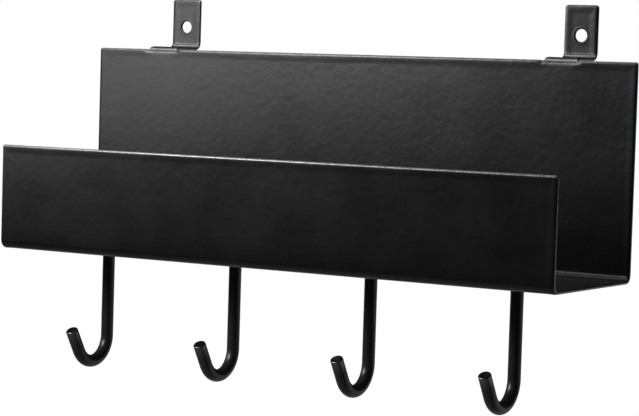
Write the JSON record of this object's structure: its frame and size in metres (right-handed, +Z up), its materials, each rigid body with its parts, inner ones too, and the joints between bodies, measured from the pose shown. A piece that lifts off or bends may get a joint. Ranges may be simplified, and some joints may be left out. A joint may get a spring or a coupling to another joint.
{
  "type": "wall shelf with hooks",
  "caption": "Open wall shelf folded from black steel sheet, with a low front lip, a tall back panel, screw ears and J-shaped rod hooks under the floor.",
  "frame": {"origin": "on the wall plane, midway between the two screw holes in the ears", "axes": "+X along the shelf to the right as seen from the room, +Y into the wall, +Z up"},
  "size_m": [0.4, 0.1315, 0.2435],
  "materials": {
    "sheet_coat": "satin black powder coat",
    "rod_coat": "satin black powder coat on round rod"
  },
  "bodies": {
    "root": {"folded_shelf": "sheet_coat", "hooks": "rod_coat"}
  },
  "joints": []
}
